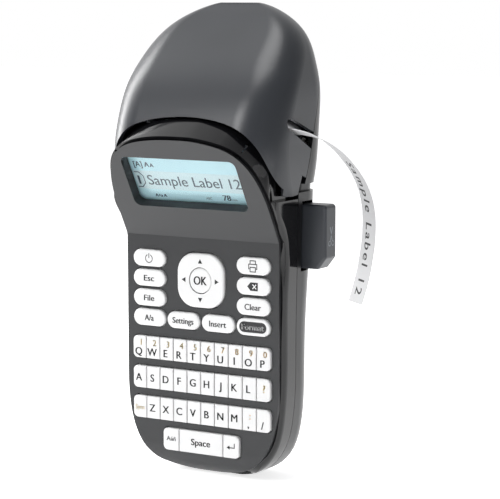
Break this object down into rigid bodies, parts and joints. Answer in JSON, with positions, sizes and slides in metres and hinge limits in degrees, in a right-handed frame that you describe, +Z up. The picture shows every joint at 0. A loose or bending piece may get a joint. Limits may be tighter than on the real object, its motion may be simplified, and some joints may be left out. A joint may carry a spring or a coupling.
{
  "type": "label maker",
  "caption": "Hand-held thermal label maker with letter keypad, leaning display hood, clamshell tape cover, side cutter button and a printed label leaving the slot.",
  "frame": {"origin": "middle of the small flat on the bottom end", "axes": "+Z up the handle towards the tape cover, -Y out of the keypad face, +X towards the cutter button and the tape slot"},
  "size_m": [0.1242, 0.0645, 0.204],
  "materials": {
    "aluminium": "extruded",
    "backlight": "white",
    "board_green": "solder mask",
    "brass": "turned",
    "button_slate": "satin slate grey",
    "cassette_white": "moulded white",
    "cell_wrap": "printed wrap, plain",
    "ceramic": "glazed ceramic",
    "clear": "clear",
    "cover_grey": "satin dark grey",
    "fascia_grey": "satin dark grey",
    "flex": "amber film",
    "gear_white": "acetal",
    "gloss_black": "gloss black",
    "inner_black": "moulded black",
    "key_white": "satin white",
    "lcd": "pale cyan",
    "motor_can": "zinc plated",
    "plated": "nickel plated",
    "rear_dark": "fine satin, near black",
    "roller_rubber": "ground rubber",
    "silicone": "grey silicone",
    "steel": "plain steel",
    "tape_white": "white label tape"
  },
  "bodies": {
    "root": {"aa_cells": "cell_wrap", "battery_plates": "plated", "battery_springs": "plated", "battery_tray": "inner_black", "board_screws": "steel", "cassette_case": "cassette_white", "cassette_lid": "clear", "cover_hinge_pin": "steel", "cutter_anvil": "steel", "cutter_pivot_pin": "steel", "cutter_return_spring": "steel", "display_flex": "flex", "display_window": "clear", "fascia": "fascia_grey", "front_housing": "gloss_black", "heat_sink": "aluminium", "housing_screws": "steel", "keypad_mat": "silicone", "label_strip": "tape_white", "lcd_backlight": "backlight", "lcd_panel": "lcd", "main_board": "board_green", "mechanism_plate": "inner_black", "motor": "motor_can", "print_head": "ceramic", "rear_housing": "rear_dark", "tape_lead": "tape_white"},
    "key_accents_body": {"key_accents": "key_white"},
    "key_backspace_body": {"key_backspace": "key_white"},
    "key_caps_body": {"key_caps": "key_white"},
    "key_clear_body": {"key_clear": "key_white"},
    "key_enter_body": {"key_enter": "key_white"},
    "key_esc_body": {"key_esc": "key_white"},
    "key_file_body": {"key_file": "key_white"},
    "key_format_body": {"key_format": "key_white"},
    "key_insert_body": {"key_insert": "key_white"},
    "key_power_body": {"key_power": "key_white"},
    "key_print_body": {"key_print": "key_white"},
    "key_settings_body": {"key_settings": "key_white"},
    "key_space_body": {"key_space": "key_white"},
    "letter_row_top": {"letter_keys_top": "key_white"},
    "letter_row_middle": {"letter_keys_middle": "key_white"},
    "letter_row_bottom": {"letter_keys_bottom": "key_white"},
    "nav_gimbal_body": {"nav_gimbal": "inner_black"},
    "nav_ring_body": {"nav_ring": "key_white"},
    "ok_body": {"key_ok": "key_white"},
    "cover_body": {"tape_cover": "cover_grey"},
    "battery_cover_body": {"battery_cover": "rear_dark"},
    "button_body": {"cutter_button": "button_slate"},
    "blade_body": {"cutter_blade": "steel"},
    "tape_spool": {"tape_roll": "tape_white", "tape_core": "gear_white"},
    "platen": {"platen_shaft": "steel", "platen_roller": "roller_rubber", "platen_gear": "gear_white"},
    "idler": {"idler_gear": "gear_white"},
    "pinion": {"motor_pinion": "brass"}
  },
  "joints": [
    {"name": "press_accents", "type": "slide", "parent": "root", "child": "key_accents_body", "axis": [0, 1, 0], "range_m": [0, 0.001], "stiffness_N_per_m": 900, "springref_m": -0.0002},
    {"name": "press_backspace", "type": "slide", "parent": "root", "child": "key_backspace_body", "axis": [0, 1, 0], "range_m": [0, 0.001], "stiffness_N_per_m": 900, "springref_m": -0.0002},
    {"name": "press_caps", "type": "slide", "parent": "root", "child": "key_caps_body", "axis": [0, 1, 0], "range_m": [0, 0.001], "stiffness_N_per_m": 900, "springref_m": -0.0002},
    {"name": "press_clear", "type": "slide", "parent": "root", "child": "key_clear_body", "axis": [0, 1, 0], "range_m": [0, 0.001], "stiffness_N_per_m": 900, "springref_m": -0.0002},
    {"name": "press_enter", "type": "slide", "parent": "root", "child": "key_enter_body", "axis": [0, 1, 0], "range_m": [0, 0.001], "stiffness_N_per_m": 900, "springref_m": -0.0002},
    {"name": "press_esc", "type": "slide", "parent": "root", "child": "key_esc_body", "axis": [0, 1, 0], "range_m": [0, 0.001], "stiffness_N_per_m": 900, "springref_m": -0.0002},
    {"name": "press_file", "type": "slide", "parent": "root", "child": "key_file_body", "axis": [0, 1, 0], "range_m": [0, 0.001], "stiffness_N_per_m": 900, "springref_m": -0.0002},
    {"name": "press_format", "type": "slide", "parent": "root", "child": "key_format_body", "axis": [0, 1, 0], "range_m": [0, 0.001], "stiffness_N_per_m": 900, "springref_m": -0.0002},
    {"name": "press_insert", "type": "slide", "parent": "root", "child": "key_insert_body", "axis": [0, 1, 0], "range_m": [0, 0.001], "stiffness_N_per_m": 900, "springref_m": -0.0002},
    {"name": "press_power", "type": "slide", "parent": "root", "child": "key_power_body", "axis": [0, 1, 0], "range_m": [0, 0.001], "stiffness_N_per_m": 900, "springref_m": -0.0002},
    {"name": "press_print", "type": "slide", "parent": "root", "child": "key_print_body", "axis": [0, 1, 0], "range_m": [0, 0.001], "stiffness_N_per_m": 900, "springref_m": -0.0002},
    {"name": "press_settings", "type": "slide", "parent": "root", "child": "key_settings_body", "axis": [0, 1, 0], "range_m": [0, 0.001], "stiffness_N_per_m": 900, "springref_m": -0.0002},
    {"name": "press_space", "type": "slide", "parent": "root", "child": "key_space_body", "axis": [0, 1, 0], "range_m": [0, 0.001], "stiffness_N_per_m": 900, "springref_m": -0.0002},
    {"name": "press_letters_top", "type": "slide", "parent": "root", "child": "letter_row_top", "axis": [0, 1, 0], "range_m": [0, 0.001], "stiffness_N_per_m": 900, "springref_m": -0.0002},
    {"name": "press_letters_middle", "type": "slide", "parent": "root", "child": "letter_row_middle", "axis": [0, 1, 0], "range_m": [0, 0.001], "stiffness_N_per_m": 900, "springref_m": -0.0002},
    {"name": "press_letters_bottom", "type": "slide", "parent": "root", "child": "letter_row_bottom", "axis": [0, 1, 0], "range_m": [0, 0.001], "stiffness_N_per_m": 900, "springref_m": -0.0002},
    {"name": "nav_tip_up_down", "type": "hinge", "parent": "root", "child": "nav_gimbal_body", "pos_m": [0, -0.0168, 0.0858], "axis": [1, 0, 0], "range_deg": [-3, 3], "stiffness_Nm_per_rad": 0.12},
    {"name": "nav_tip_left_right", "type": "hinge", "parent": "nav_gimbal_body", "child": "nav_ring_body", "pos_m": [0, -0.0168, 0.0858], "axis": [0, 0, 1], "range_deg": [-3, 3], "stiffness_Nm_per_rad": 0.12},
    {"name": "press_ok", "type": "slide", "parent": "root", "child": "ok_body", "axis": [0, 1, 0], "range_m": [0, 0.001], "stiffness_N_per_m": 900, "springref_m": -0.0002},
    {"name": "tape_cover_hinge", "type": "hinge", "parent": "root", "child": "cover_body", "pos_m": [0, 0.01795, 0.19684], "axis": [-1, 0, 0], "range_deg": [0, 100]},
    {"name": "battery_cover_pull", "type": "slide", "parent": "root", "child": "battery_cover_body", "axis": [0, 1, 0], "range_m": [0, 0.03]},
    {"name": "cutter_button_press", "type": "hinge", "parent": "root", "child": "button_body", "pos_m": [0.0365, 0.001, 0.095], "axis": [0, -1, 0], "range_deg": [0, 8], "deforming": ["cutter_return_spring"]},
    {"name": "cutter_blade_lift", "type": "slide", "parent": "root", "child": "blade_body", "axis": [0, 0.2874, 0.9578], "range_m": [0, 0.005], "stiffness_N_per_m": 250, "springref_m": -0.002},
    {"name": "tape_roll_spin", "type": "hinge", "parent": "root", "child": "tape_spool", "pos_m": [-0.006, -0.00636, 0.16071], "axis": [0, -0.9578, 0.2874], "continuous": true},
    {"name": "platen_spin", "type": "hinge", "parent": "root", "child": "platen", "pos_m": [0.0316, -0.00787, 0.14555], "axis": [0, -0.9578, 0.2874], "continuous": true},
    {"name": "idler_spin", "type": "hinge", "parent": "root", "child": "idler", "pos_m": [0.0156, 0.00458, 0.14182], "axis": [0, -0.9578, 0.2874], "continuous": true},
    {"name": "pinion_spin", "type": "hinge", "parent": "root", "child": "pinion", "pos_m": [0.002, 0.00458, 0.14182], "axis": [0, -0.9578, 0.2874], "continuous": true}
  ],
  "couplings": [
    {"joint": "cutter_button_press", "follows": "cutter_blade_lift", "rad_per_m": 27.92},
    {"joint": "platen_spin", "follows": "tape_roll_spin", "ratio": -3.75},
    {"joint": "idler_spin", "follows": "tape_roll_spin", "ratio": 2.5},
    {"joint": "pinion_spin", "follows": "tape_roll_spin", "ratio": -6}
  ]
}
